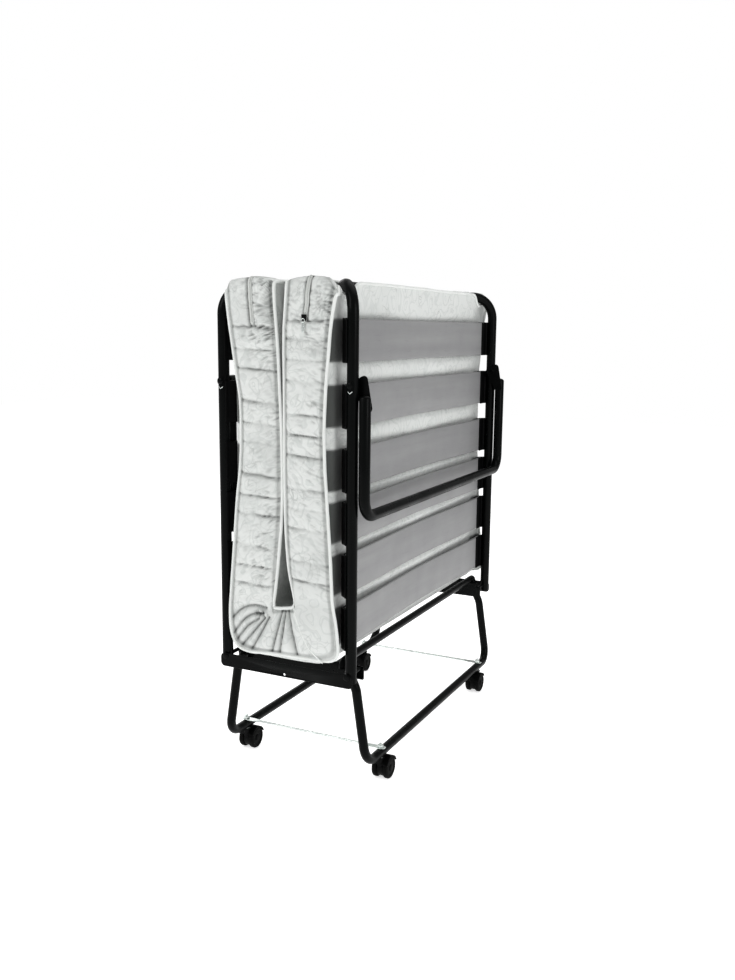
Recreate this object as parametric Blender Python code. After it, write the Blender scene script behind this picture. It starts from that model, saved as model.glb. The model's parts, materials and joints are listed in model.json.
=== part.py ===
"""Folding guest cot, standing folded on its casters.

Two tube frames carry sprung slats and stand upright back to back, with the folded mattress between them.
Each frame hinges outwards by 90 degrees on a wheeled base, and its end leg swings down onto the floor.
Metres, +Z up, origin on the floor under the middle of the cot, X from the left frame to the right frame,
Y along the width of the bed.
"""

import math

import bmesh
import bpy
from mathutils import Matrix, Vector

# Driving dimensions
GAP = 0.0003  # clearance between touching pieces
HALF_WIDTH = 0.3875  # Y of the side tubes' centre lines
FRAME_X = 0.143  # X of the upright side tubes
FRAME_R = 0.011
TUBE_WALL = 0.0015
FRAME_BOTTOM = 0.238
FRAME_TOP = 1.004  # centre line of the bend at the head of a frame
HOOP_X = 0.083  # the end hoop is set over towards the mattress
HOOP_Y = 0.323
HOOP_Z = 0.997
HEAD_BEND = 0.055
HOOP_BEND = 0.072

HINGE_X = 0.140
HINGE_Z = 0.252
HINGE_PIN_R = 0.0040

SLAT_HEIGHTS = (0.896, 0.774, 0.653, 0.552, 0.449, 0.344)
SLAT_WIDTH = 0.080
SLAT_THICK = 0.007
SLAT_INSET = 0.019  # slat centre line, from the tube centre towards the mattress
SLAT_BOW = 0.008
SLAT_FREE = 0.350  # half length that bows freely
SLAT_SEAT = 0.0085  # slat end, from the tube centre line inwards
HOLDER_HEIGHT = 0.082
HOLDER_DEPTH = 0.034  # from the tube centre line inwards
HOLDER_WALL = 0.0025

LEG_X = 0.168
LEG_Y = 0.386
NESTED_Y = 0.3645  # the left leg hangs inside its side tubes
LEG_R = 0.011
LEG_BEND = 0.036
LEG_TOP = 0.790
LEG_BAR_Z = 0.566
PIVOT_Z = 0.814
PIVOT_PIN_R = 0.0037
VENT_R = 0.002  # hole under the left leg's bar
PIN_HEAD_R = 0.0075
PIN_HEAD_HIGH = 0.0037
EAR_THICK = 0.002
EAR_LOBES = ((FRAME_X, PIVOT_Z, 0.0085), (0.160, 0.824, 0.008), (LEG_X, 0.772, 0.0095))  # x, z, radius

PLATE = 0.002  # sheet thickness of the centre brackets
BRACKET_LOW = 0.229
BRACKET_HIGH = 0.257
BRACKET_END = 0.152
BRACKET_NOTCH = 0.123
BRACKET_BACK = 0.340
BRACKET_STEP = 0.373
BRACKET_CORNER = 0.009
SHELF_END = 0.148
HOLE_Z = 0.2345
HOLE_R = 0.0028
RIVET_R = 0.0062
RIVET_HIGH = 0.003

BASE_R = 0.0095
BASE_Y = 0.3575
BASE_TOP = (0.122, 0.249)
BASE_KNEE = (0.1395, 0.213)
RAIL_X = 0.1628
RAIL_Z = 0.0594

BAR_R = 0.008
BAR_X = 0.116
BAR_Y = 0.370
BAR_Z = 0.272

STEM_Y = 0.2905
STEM_R = 0.0030
STEM_LOW = 0.033
LINK_THICK = 0.002
LINK_FLAT = 0.008  # half width of a flattened end
LINK_ROD_R = 0.0026
LINK_END = RAIL_X + 0.010
NUT_R = 0.0065
NUT_HIGH = 0.006
STEM_STAND = 0.003  # of the stem over its nut

WHEEL_R = 0.023
CASTER_TRAIL = 0.0155
WEB_HALF = 0.0068
WHEEL_OUTER = 0.0190
AXLE_R = 0.0030
WEB_R = 0.0195
HOOD_INNER = WHEEL_R + 0.0008
HOOD_OUTER = WHEEL_R + 0.0026
BRIDGE = ((-0.012, 0.006), (0.008, WHEEL_R + 0.0015))  # corners, inwards and up from the hub
NECK_R = 0.0066
NECK_LOW = 0.030
NECK_TOP = 0.049
TREAD_FLAT = 0.004  # width of the chamfer on a wheel's outer edge
TREAD_DROP = 0.008

MATTRESS_INNER = 0.004
MATTRESS_OUTER = 0.109
MATTRESS_Y = 0.410
MATTRESS_TOP = 0.979
FOLD_TOP = 0.345
FOLD_BOTTOM = 0.264
FOLD_HALF = 0.105
LIMB_CORNER = 0.012
FOLD_CORNER = 0.030

COLOURS = {
    "black_tube": ((0.006, 0.008, 0.008), 0.18, 0.9),
    "black_plastic": ((0.012, 0.012, 0.013), 0.45, 0.0),
    "grey_slat": ((0.26, 0.26, 0.265), 0.5, 0.0),
    "zinc": ((0.62, 0.65, 0.65), 0.3, 1.0),
    "caster_black": ((0.010, 0.010, 0.011), 0.5, 0.0),
    "ticking": ((0.78, 0.79, 0.78), 0.85, 0.0),
}


def clear_scene():
    for obj in list(bpy.data.objects):
        bpy.data.objects.remove(obj, do_unlink=True)


def material(name):
    """The named finish, made once and shared by every piece that has it."""
    found = bpy.data.materials.get(name)
    if found:
        return found
    colour, roughness, metallic = COLOURS[name]
    made = bpy.data.materials.new(name)
    made.use_nodes = True
    shader = made.node_tree.nodes["Principled BSDF"]
    shader.inputs["Base Color"].default_value = (*colour, 1.0)
    shader.inputs["Roughness"].default_value = roughness
    shader.inputs["Metallic"].default_value = metallic
    return made


def add_object(name, bm, finish, smooth=True):
    """Close a bmesh into a named object with outward faces."""
    bmesh.ops.recalc_face_normals(bm, faces=bm.faces)
    mesh = bpy.data.meshes.new(name)
    bm.to_mesh(mesh)
    bm.free()
    mesh.materials.append(material(finish))
    if smooth:
        mesh.shade_smooth()
        mesh.set_sharp_from_angle(angle=math.radians(35))
    obj = bpy.data.objects.new(name, mesh)
    bpy.context.scene.collection.objects.link(obj)
    return obj


def hide_guide(obj):
    obj.hide_render = True
    obj.display_type = "WIRE"
    return obj


def combine(obj, guide, operation):
    """Join or cut with a guide solid."""
    hide_guide(guide)
    step = obj.modifiers.new(operation.lower(), "BOOLEAN")
    step.operation = operation
    step.solver = "EXACT"
    step.object = guide
    return obj


def rounded_path(corners, radii, steps):
    """A polyline through the corners with each inner corner turned by an arc of its radius."""
    points = [Vector(corners[0])]
    for i in range(1, len(corners) - 1):
        corner = Vector(corners[i])
        back = (Vector(corners[i - 1]) - corner).normalized()
        ahead = (Vector(corners[i + 1]) - corner).normalized()
        half = back.angle(ahead) / 2
        bisector = (back + ahead).normalized()
        radius = radii[i - 1]
        centre = corner + bisector * (radius / math.sin(half))
        start = corner + back * (radius / math.tan(half)) - centre
        end = corner + ahead * (radius / math.tan(half)) - centre
        turn = start.angle(end)
        axis = start.cross(end).normalized()
        count = max(2, math.ceil(math.degrees(turn) / steps))
        for k in range(count + 1):
            points.append(centre + Matrix.Rotation(turn * k / count, 3, axis) @ start)
    points.append(Vector(corners[-1]))
    return points


def tube(name, path, radius, finish, sides=10, wall=TUBE_WALL):
    """A hollow tube with open ends along a path."""
    bm = bmesh.new()
    tangents = []
    for i in range(len(path)):
        before = path[max(i - 1, 0)]
        after = path[min(i + 1, len(path) - 1)]
        tangents.append((after - before).normalized())
    side = tangents[0].orthogonal().normalized()
    rings = []
    for i, point in enumerate(path):
        if i:
            side = (side - tangents[i] * side.dot(tangents[i])).normalized()
        other = tangents[i].cross(side)
        ring = []
        for reach in (radius, radius - wall):
            for k in range(sides):
                angle = 2 * math.pi * (k + 0.5) / sides
                spoke = side * math.cos(angle) + other * math.sin(angle)
                ring.append(bm.verts.new(point + spoke * reach))
        rings.append(ring)
    for a, b in zip(rings, rings[1:]):
        for k in range(sides):
            n = (k + 1) % sides
            bm.faces.new((a[k], a[n], b[n], b[k]))
            bm.faces.new((a[sides + n], a[sides + k], b[sides + k], b[sides + n]))
    for ring in (rings[0], rings[-1]):
        for k in range(sides):
            n = (k + 1) % sides
            bm.faces.new((ring[k], ring[n], ring[sides + n], ring[sides + k]))
    return add_object(name, bm, finish)


def prism(name, outline, place, low, high, finish, smooth=False):
    """An outline pushed from low to high; place(a, b, depth) gives each corner in space."""
    bm = bmesh.new()
    bottom = [bm.verts.new(place(a, b, low)) for a, b in outline]
    top = [bm.verts.new(place(a, b, high)) for a, b in outline]
    bm.faces.new(bottom)
    bm.faces.new(list(reversed(top)))
    for k in range(len(outline)):
        n = (k + 1) % len(outline)
        bm.faces.new((bottom[k], bottom[n], top[n], top[k]))
    return add_object(name, bm, finish, smooth)


def turned(name, profile, centre, axis, finish, sides=20):
    """A solid of revolution; the profile is (distance along the axis, radius), with both ends on the axis."""
    bm = bmesh.new()
    axis = Vector(axis).normalized()
    side = axis.orthogonal().normalized()
    other = axis.cross(side)
    centre = Vector(centre)
    rings = []
    for along, radius in profile:
        base = centre + axis * along
        if radius == 0:
            rings.append([bm.verts.new(base)])
            continue
        spokes = [2 * math.pi * k / sides for k in range(sides)]
        rings.append(
            [bm.verts.new(base + (side * math.cos(t) + other * math.sin(t)) * radius) for t in spokes]
        )
    for a, b in zip(rings, rings[1:]):
        for k in range(sides):
            n = (k + 1) % sides
            corners = [a[k % len(a)], a[n % len(a)], b[n % len(b)], b[k % len(b)]]
            bm.faces.new(list(dict.fromkeys(corners)))
    return add_object(name, bm, finish)


def rod(name, start, end, radius, finish, sides=12):
    start = Vector(start)
    length = (Vector(end) - start).length
    profile = ((0, 0), (0, radius), (length, radius), (length, 0))
    return turned(name, profile, start, Vector(end) - start, finish, sides)


def arc(centre, radius, start, end, count):
    """Points on a circle between two angles in degrees."""
    angles = [math.radians(start + (end - start) * k / count) for k in range(count + 1)]
    return [(centre[0] + radius * math.cos(t), centre[1] + radius * math.sin(t)) for t in angles]


def hull(points):
    """Convex hull of flat points, by the monotone chain."""

    def chain(ordered):
        kept = []
        for p in ordered:
            while len(kept) > 1:
                (ax, ay), (bx, by) = kept[-2], kept[-1]
                if (bx - ax) * (p[1] - ay) - (by - ay) * (p[0] - ax) > 1e-12:
                    break
                kept.pop()
            kept.append(p)
        return kept[:-1]

    ordered = sorted(set(points))
    return chain(ordered) + chain(list(reversed(ordered)))


def side_frame(label, sx):
    """The bent tube of one half: two uprights and the hoop over the mattress end."""
    corners = []
    for y in (-1, 1):
        foot = (sx * FRAME_X, y * HALF_WIDTH, FRAME_BOTTOM)
        head = (sx * FRAME_X, y * HALF_WIDTH, FRAME_TOP)
        hoop = (sx * HOOP_X, y * HOOP_Y, HOOP_Z)
        corners += [foot, head, hoop] if y < 0 else [hoop, head, foot]
    radii = (HEAD_BEND, HOOP_BEND, HOOP_BEND, HEAD_BEND)
    frame = tube(f"{label}_frame_tube", rounded_path(corners, radii, 18), FRAME_R, "black_tube")
    for height, across, pin in ((HINGE_Z, HINGE_X, HINGE_PIN_R), (PIVOT_Z, FRAME_X, PIVOT_PIN_R)):
        for y, side in ((-HALF_WIDTH, "near"), (HALF_WIDTH, "far")):
            reach = 2 * FRAME_R
            start = (sx * across, y - reach, height)
            end = (sx * across, y + reach, height)
            drill = rod(f"drill_{label}_{side}_{height}", start, end, pin + 0.0005, "zinc")
            combine(frame, drill, "DIFFERENCE")


def holder_outline():
    """Plan of a slat holder: u from the tube centre towards the mattress, v inwards along the slat."""
    saddle = FRAME_R + GAP
    slot_low = SLAT_INSET - SLAT_THICK / 2 - GAP
    slot_high = SLAT_INSET + SLAT_THICK / 2 + GAP
    seat = SLAT_SEAT - GAP
    outline = arc((0, 0), saddle, -50, 35, 6)
    outline += [
        (slot_low - HOLDER_WALL, 0.0105),
        (slot_low - HOLDER_WALL, HOLDER_DEPTH),
        (slot_low, HOLDER_DEPTH),
        (slot_low, seat),
        (slot_high, seat),
        (slot_high, HOLDER_DEPTH),
        (slot_high + HOLDER_WALL, HOLDER_DEPTH),
        (slot_high + HOLDER_WALL, 0.006),
        (slot_high + HOLDER_WALL - 0.003, 0.002),
    ]
    outline += arc((0, 0), saddle + HOLDER_WALL, -20, -50, 2)
    return outline


def slats_and_holders(label, sx):
    """Six sprung slats, each in two holders clipped over the side tubes."""
    outline = holder_outline()
    for number, height in enumerate(SLAT_HEIGHTS, start=1):
        for y, side in ((-1, "near"), (1, "far")):

            def place(u, v, z, y=y):
                return (sx * (FRAME_X - u), y * (HALF_WIDTH - v), z)

            low = height - HOLDER_HEIGHT / 2
            high = height + HOLDER_HEIGHT / 2
            prism(f"{label}_holder_{number}_{side}", outline, place, low, high, "black_plastic", True)
        slat(f"{label}_slat_{number}", sx, height)


def slat(name, sx, height):
    """A flat strip, straight in its holders and bowed towards the mattress between them."""
    bm = bmesh.new()
    half = HALF_WIDTH - SLAT_SEAT
    stations = [-half] + [SLAT_FREE * (k / 5 - 1) for k in range(11)] + [half]
    rings = []
    for y in stations:
        t = min(abs(y) / SLAT_FREE, 1.0)
        inset = SLAT_INSET + SLAT_BOW * (0.5 + 0.5 * math.cos(math.pi * t))
        ring = []
        for a, b in ((-1, -1), (1, -1), (1, 1), (-1, 1)):
            x = sx * (FRAME_X - inset + a * SLAT_THICK / 2)
            ring.append(bm.verts.new((x, y, height + b * SLAT_WIDTH / 2)))
        rings.append(ring)
    for a, b in zip(rings, rings[1:]):
        for k in range(4):
            n = (k + 1) % 4
            bm.faces.new((a[k], a[n], b[n], b[k]))
    bm.faces.new(rings[0])
    bm.faces.new(list(reversed(rings[-1])))
    add_object(name, bm, "grey_slat")


def leg_tube(label, x, half):
    """The bent tube of an end leg, with its ends at the pivots or just under them."""
    top = LEG_TOP if half > NESTED_Y else PIVOT_Z
    corners = [(x, -half, top), (x, -half, LEG_BAR_Z), (x, half, LEG_BAR_Z), (x, half, top)]
    return tube(f"{label}_end_leg", rounded_path(corners, (LEG_BEND, LEG_BEND), 22), LEG_R, "black_tube")


def pivot_head(outer):
    """The part of a pivot pin's profile that passes the side tube and ends in a domed head."""
    return (
        (outer, PIVOT_PIN_R),
        (outer, PIN_HEAD_R),
        (outer + PIN_HEAD_HIGH / 2, PIN_HEAD_R * 0.9),
        (outer + PIN_HEAD_HIGH * 0.95, PIN_HEAD_R / 2),
        (outer + PIN_HEAD_HIGH, 0),
    )


def right_leg():
    """A U-shaped leg outside its frame, with an ear plate and a pivot pin at each end."""
    leg = leg_tube("right", LEG_X, LEG_Y)
    ear = hull([p for x, z, radius in EAR_LOBES for p in arc((x, z), radius, 0, 330, 11)])
    inner = HALF_WIDTH - FRAME_R - GAP
    outer = HALF_WIDTH + FRAME_R + GAP
    for y, side in ((-1, "near"), (1, "far")):

        def place(a, b, depth, y=y):
            return (a, y * depth, b)

        plate = prism(f"ear_{side}", ear, place, inner - EAR_THICK, inner, "black_tube")
        combine(leg, plate, "UNION")
        start = inner - EAR_THICK / 2
        pin = ((start, 0), (start, PIVOT_PIN_R), *pivot_head(outer))
        bolt = turned(f"pivot_right_{side}", pin, (FRAME_X, 0, PIVOT_Z), (0, y, 0), "zinc", 12)
        combine(leg, bolt, "UNION")


def left_leg():
    """A narrower U-shaped leg inside its side tubes, with an eye and a pivot pin at each end."""
    leg = leg_tube("left", -FRAME_X, NESTED_Y)
    outer = HALF_WIDTH + FRAME_R + GAP
    for y, side in ((-1, "near"), (1, "far")):
        low = NESTED_Y - LEG_R
        high = NESTED_Y + LEG_R
        pin = ((low, 0), (low, LEG_R), (high, LEG_R), (high, PIVOT_PIN_R), *pivot_head(outer))
        eye = turned(f"pivot_left_{side}", pin, (-FRAME_X, 0, PIVOT_Z), (0, y, 0), "zinc", 16)
        combine(leg, eye, "UNION")
    start = (-FRAME_X, 0, LEG_BAR_Z - 2 * LEG_R)
    vent = rod("drill_vent", start, (-FRAME_X, 0, LEG_BAR_Z), VENT_R, "zinc")
    combine(leg, vent, "DIFFERENCE")


def bracket(label, y):
    """The pressed channel that joins both frames and both base legs at one side of the bed."""
    front = HALF_WIDTH + FRAME_R + GAP
    back = BRACKET_BACK
    mid = (BRACKET_LOW + BRACKET_HIGH) / 2
    half = (BRACKET_HIGH - BRACKET_LOW) / 2
    face = []
    for sx, sz, start in ((1, -1, -90), (1, 1, 0), (-1, 1, 90), (-1, -1, 180)):
        centre = (sx * (BRACKET_END - BRACKET_CORNER), mid + sz * (half - BRACKET_CORNER))
        face += arc(centre, BRACKET_CORNER, start, start + 90, 5)

    def flat(a, b, depth):
        return (a, y * depth, b)

    def plan(a, b, depth):
        return (a, y * b, depth)

    body = prism(f"{label}_bracket", face, flat, front, front + PLATE, "black_tube")
    shelf = [
        (BRACKET_NOTCH, front + PLATE / 2),
        (BRACKET_NOTCH, BRACKET_STEP),
        (SHELF_END, BRACKET_STEP),
        (SHELF_END, back),
    ]
    shelf += [(-a, b) for a, b in reversed(shelf)]
    top = BRACKET_HIGH - GAP
    parts = [prism(f"shelf_{label}", shelf, plan, top - PLATE, top, "black_tube")]
    high = top - GAP
    skirt = [(-SHELF_END, BRACKET_LOW), (SHELF_END, BRACKET_LOW), (SHELF_END, high), (-SHELF_END, high)]
    parts.append(prism(f"skirt_{label}", skirt, flat, back, back + PLATE, "black_tube"))
    for sx in (-1, 1):
        centre = (sx * HINGE_X, 0, HINGE_Z)
        pin = (
            (back + PLATE / 2, 0),
            (back + PLATE / 2, HINGE_PIN_R),
            (front + PLATE, HINGE_PIN_R),
            (front + PLATE, RIVET_R),
            (front + PLATE + RIVET_HIGH / 2, RIVET_R * 0.93),
            (front + PLATE + RIVET_HIGH * 0.93, RIVET_R / 2),
            (front + PLATE + RIVET_HIGH, 0),
        )
        parts.append(turned(f"hinge_pin_{label}_{sx}", pin, centre, (0, y, 0), "black_tube", 12))
    for part in parts:
        combine(body, part, "UNION")
    start = (0, y * (front - FRAME_R), HOLE_Z)
    end = (0, y * (front + FRAME_R), HOLE_Z)
    combine(body, rod(f"drill_{label}", start, end, HOLE_R, "zinc"), "DIFFERENCE")


def base_leg(label, sx):
    """Leg, floor rail and leg in one tube; the rail is drilled for the caster bolts."""
    corners = []
    for y in (-1, 1):
        top = (sx * BASE_TOP[0], y * BASE_Y, BASE_TOP[1])
        knee = (sx * BASE_KNEE[0], y * BASE_Y, BASE_KNEE[1])
        rail = (sx * RAIL_X, y * BASE_Y, RAIL_Z)
        corners += [top, knee, rail] if y < 0 else [rail, knee, top]
    path = rounded_path(corners, (0.045, 0.036, 0.036, 0.045), 22)
    leg = tube(f"{label}_base_leg", path, BASE_R, "black_tube")
    for y in (-STEM_Y, STEM_Y):
        start = (sx * RAIL_X, y, RAIL_Z - 2 * BASE_R)
        end = (sx * RAIL_X, y, RAIL_Z + 2 * BASE_R)
        drill = rod(f"drill_{label}_rail_{y}", start, end, STEM_R + 0.0005, "zinc")
        combine(leg, drill, "DIFFERENCE")


def support_bar(label, sx):
    """The tube across the middle that the mattress rests on when the bed is open."""
    foot = BRACKET_HIGH + GAP
    corners = [
        (sx * BAR_X, -BAR_Y, foot),
        (sx * BAR_X, -BAR_Y, BAR_Z),
        (sx * BAR_X, BAR_Y, BAR_Z),
        (sx * BAR_X, BAR_Y, foot),
    ]
    tube(f"{label}_support_bar", rounded_path(corners, (0.012, 0.012), 30), BAR_R, "black_tube", 8)


def tie_link(label, y):
    """A round tie with flattened ends over the two rails, held by the casters' threaded stems."""
    bm = bmesh.new()
    low = RAIL_Z + BASE_R + GAP
    centre_z = low + LINK_THICK / 2
    stations = (
        (LINK_END, LINK_FLAT / 2, LINK_THICK / 2),
        (LINK_END - 0.003, LINK_FLAT, LINK_THICK / 2),
        (RAIL_X - 0.022, LINK_FLAT, LINK_THICK / 2),
        (RAIL_X - 0.034, LINK_ROD_R, LINK_ROD_R),
        (0, LINK_ROD_R, LINK_ROD_R),
    )
    stations += tuple((-a, b, c) for a, b, c in reversed(stations[:-1]))
    rings = []
    for x, half_y, half_z in stations:
        corners = arc((0, 0), 1, 22.5, 337.5, 7)
        rings.append([bm.verts.new((x, y + a * half_y, centre_z + b * half_z)) for a, b in corners])
    for a, b in zip(rings, rings[1:]):
        for k in range(8):
            n = (k + 1) % 8
            bm.faces.new((a[k], a[n], b[n], b[k]))
    bm.faces.new(rings[0])
    bm.faces.new(list(reversed(rings[-1])))
    link = add_object(f"{label}_tie_link", bm, "zinc")
    for sx in (-1, 1):
        stem = (
            (STEM_LOW, 0),
            (STEM_LOW, STEM_R),
            (centre_z, STEM_R),
            (centre_z, NUT_R),
            (centre_z + NUT_HIGH, NUT_R),
            (centre_z + NUT_HIGH, STEM_R),
            (centre_z + NUT_HIGH + STEM_STAND, STEM_R * 0.8),
            (centre_z + NUT_HIGH + STEM_STAND, 0),
        )
        bolt = turned(f"stem_{label}_{sx}", stem, (sx * RAIL_X, y, 0), (0, 0, 1), "zinc", 12)
        combine(link, bolt, "UNION")


def caster(label, x, y):
    """A swivelling twin-wheel caster that trails towards the middle of the cot."""
    inward = -math.copysign(1, y)
    hub = (x, y + inward * CASTER_TRAIL, WHEEL_R)
    web_profile = ((-WEB_HALF, 0), (-WEB_HALF, WEB_R), (WEB_HALF, WEB_R), (WEB_HALF, 0))
    body = turned(f"{label}_caster_housing", web_profile, hub, (1, 0, 0), "caster_black", 20)
    shell = arc((0, 0), HOOD_OUTER, 20, 152, 8) + arc((0, 0), HOOD_INNER, 152, 20, 8)

    def place(a, b, depth):
        return (x + depth, hub[1] + inward * a, hub[2] + b)

    parts = [prism(f"hood_{label}", shell, place, -WHEEL_OUTER, WHEEL_OUTER, "caster_black")]
    (a, b), (c, d) = BRIDGE
    bridge = [(a, b), (c, b), (c, d), (a, d)]
    parts.append(prism(f"bridge_{label}", bridge, place, -WEB_HALF, WEB_HALF, "caster_black"))
    parts.append(rod(f"neck_{label}", (x, y, NECK_LOW), (x, y, NECK_TOP), NECK_R, "caster_black", 16))
    for part in parts:
        combine(body, part, "UNION")
    bore = rod(f"bore_{label}", (x, y, STEM_LOW - 0.0005), (x, y, RAIL_Z), STEM_R + 0.0004, "zinc")
    combine(body, bore, "DIFFERENCE")
    start = (x - WHEEL_OUTER, hub[1], hub[2])
    end = (x + WHEEL_OUTER, hub[1], hub[2])
    combine(body, rod(f"axle_hole_{label}", start, end, AXLE_R + 0.0003, "zinc"), "DIFFERENCE")
    face = WEB_HALF + 0.0005
    half = (
        (face, AXLE_R),
        (face, WHEEL_R),
        (WHEEL_OUTER - TREAD_FLAT, WHEEL_R),
        (WHEEL_OUTER, WHEEL_R - TREAD_DROP),
        (WHEEL_OUTER, 0),
    )
    profile = tuple((-a, r) for a, r in reversed(half)) + half
    turned(f"{label}_caster_wheels", profile, hub, (1, 0, 0), "caster_black", 20)


def mattress():
    """The folded mattress: one limb on each frame and the fold over the base."""

    def upright(a, b, depth):
        return (a, depth, b)

    for label, sx in (("left", -1), ("right", 1)):
        inner = MATTRESS_INNER
        outer = MATTRESS_OUTER
        low = FOLD_TOP + GAP
        corner = LIMB_CORNER
        outline = [(inner, low), (outer, low), (outer, MATTRESS_TOP - corner)]
        outline += [(outer - corner, MATTRESS_TOP), (inner + corner, MATTRESS_TOP)]
        outline += [(inner, MATTRESS_TOP - corner)]
        outline = [(sx * a, b) for a, b in outline]
        prism(f"{label}_mattress", outline, upright, -MATTRESS_Y, MATTRESS_Y, "ticking")
    corner = FOLD_CORNER
    outline = [
        (-FOLD_HALF, FOLD_TOP),
        (-FOLD_HALF, FOLD_BOTTOM + corner),
        (-FOLD_HALF + corner, FOLD_BOTTOM),
        (FOLD_HALF - corner, FOLD_BOTTOM),
        (FOLD_HALF, FOLD_BOTTOM + corner),
        (FOLD_HALF, FOLD_TOP),
    ]
    prism("mattress_fold", outline, upright, -MATTRESS_Y, MATTRESS_Y, "ticking")


def build():
    clear_scene()
    for label, sx in (("left", -1), ("right", 1)):
        side_frame(label, sx)
        slats_and_holders(label, sx)
        base_leg(label, sx)
        support_bar(label, sx)
        caster(f"{label}_near", sx * RAIL_X, -STEM_Y)
        caster(f"{label}_far", sx * RAIL_X, STEM_Y)
    left_leg()
    right_leg()
    for label, y in (("near", -1), ("far", 1)):
        bracket(label, y)
        tie_link(label, y * STEM_Y)
    mattress()


build()
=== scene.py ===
"""Looks for the folding guest cot: metalwork, moulded parts and the mattress around the fixed frame."""

import json
import math

import bmesh
import bpy
import numpy as np
from mathutils import Matrix, Vector, noise


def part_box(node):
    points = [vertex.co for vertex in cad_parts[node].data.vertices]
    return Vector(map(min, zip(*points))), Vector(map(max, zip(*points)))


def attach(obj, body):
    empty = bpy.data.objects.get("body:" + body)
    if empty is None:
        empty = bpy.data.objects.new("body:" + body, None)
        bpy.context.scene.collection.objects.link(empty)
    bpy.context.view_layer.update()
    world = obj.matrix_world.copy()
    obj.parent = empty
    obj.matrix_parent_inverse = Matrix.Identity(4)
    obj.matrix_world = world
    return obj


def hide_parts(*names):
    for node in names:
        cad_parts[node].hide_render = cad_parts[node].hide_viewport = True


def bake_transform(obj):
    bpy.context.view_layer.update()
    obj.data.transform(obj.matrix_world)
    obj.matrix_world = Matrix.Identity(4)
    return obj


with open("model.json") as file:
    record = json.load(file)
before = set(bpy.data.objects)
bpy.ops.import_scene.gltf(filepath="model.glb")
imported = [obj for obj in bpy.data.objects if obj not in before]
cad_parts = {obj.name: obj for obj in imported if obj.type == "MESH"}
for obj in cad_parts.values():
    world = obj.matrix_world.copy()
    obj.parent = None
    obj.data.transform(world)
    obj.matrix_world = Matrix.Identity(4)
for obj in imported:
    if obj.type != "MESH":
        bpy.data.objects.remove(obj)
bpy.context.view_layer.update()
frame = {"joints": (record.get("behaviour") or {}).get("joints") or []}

# Places taken from the frame
JOINTS = {joint["name"]: Vector(joint["pos_m"]) for joint in frame["joints"]}
HINGE = JOINTS["right_fold"]
PIVOT = JOINTS["right_leg_swing"]
STEM = JOINTS["right_far_swivel"]
HUB = JOINTS["right_far_roll"]
SLATS = [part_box(f"right_slat_{number}") for number in range(1, 7)]
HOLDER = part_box("right_holder_1_far")

# Tube work, as in the frame's own solids
GAP = 0.0003
FRAME_X = PIVOT.x
FRAME_R = 0.011
SLAT_SEAT = 0.0085
HALF_WIDTH = SLATS[0][1].y + SLAT_SEAT
FRAME_BOTTOM = 0.238
FRAME_TOP = 1.004
HOOP = (0.083, 0.323, 0.997)
HEAD_BEND = 0.055
HOOP_BEND = 0.072
SLAT_INSET = 0.019
SLAT_BOW = 0.008
SLAT_FREE = 0.35
SLAT_THICK = 0.007
HOLDER_DEPTH = 0.034
HOLDER_WALL = 0.0025
LEG_X = 0.168
LEG_Y = 0.386
LEG_R = 0.011
LEG_BEND = 0.036
LEG_TOP = 0.79
LEG_BAR_Z = 0.566
NESTED_Y = 0.3645
EAR = ((FRAME_X, PIVOT.z, 0.0085), (0.16, 0.824, 0.008), (LEG_X, 0.772, 0.0095))
EAR_THICK = 0.002
PLATE = 0.002
BRACKET_LOW = 0.229
BRACKET_HIGH = 0.257
BRACKET_END = 0.152
BRACKET_NOTCH = 0.123
BRACKET_BACK = 0.34
BRACKET_STEP = 0.373
BRACKET_HOLE_Z = 0.2345
BASE_R = 0.0095
BASE_Y = 0.3575
BASE_TOP = (0.122, 0.249)
BASE_KNEE = (0.1395, 0.213)
RAIL_Z = 0.0594
KNEE_BEND = 0.045
RAIL_BEND = 0.036
BAR_R = 0.008
BAR_BEND = 0.012
BAR = (0.116, 0.37, 0.272)
LINK_THICK = 0.002
TIE_R = 0.0026
# A tie's flattened end: place from the caster's stem, half width and half thickness.
TIE_END = ((0.01, 0.0045, 0.001), (0.008, 0.007, 0.001), (0.004, 0.008, 0.001),
           (-0.022, 0.008, 0.001), (-0.028, 0.0062, 0.0016), (-0.036, TIE_R, TIE_R))
STEM_R = 0.003
WHEEL_R = HUB.z
WEB_HALF = 0.0068
WHEEL_OUTER = 0.019
# A wheel's outer shoulder: places in from its outer face and in from its rim.
TREAD_EDGE = ((0.0042, 0), (0.0022, 0.001), (0.001, 0.0034), (0.0008, 0.006), (0.0022, 0.0075))
AXLE_R = 0.003

# Mattress
BED_Y = 0.4105
PIPING_R = 0.0033
BED_TOP = 1.003
JOINT_Z = 0.9255
SPLIT = Vector((0, 0, 0.377))
SPLIT_NORMAL = (0.553, 0, 0.833)
SPLIT_LENGTH = 0.0002
SPLIT_CLEAR = 0.0006  # no point of the fabric lies nearer to the split than this

SIDES = (("left", -1), ("right", 1))
ENDS = (("near", -1), ("far", 1))


# Materials


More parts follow.
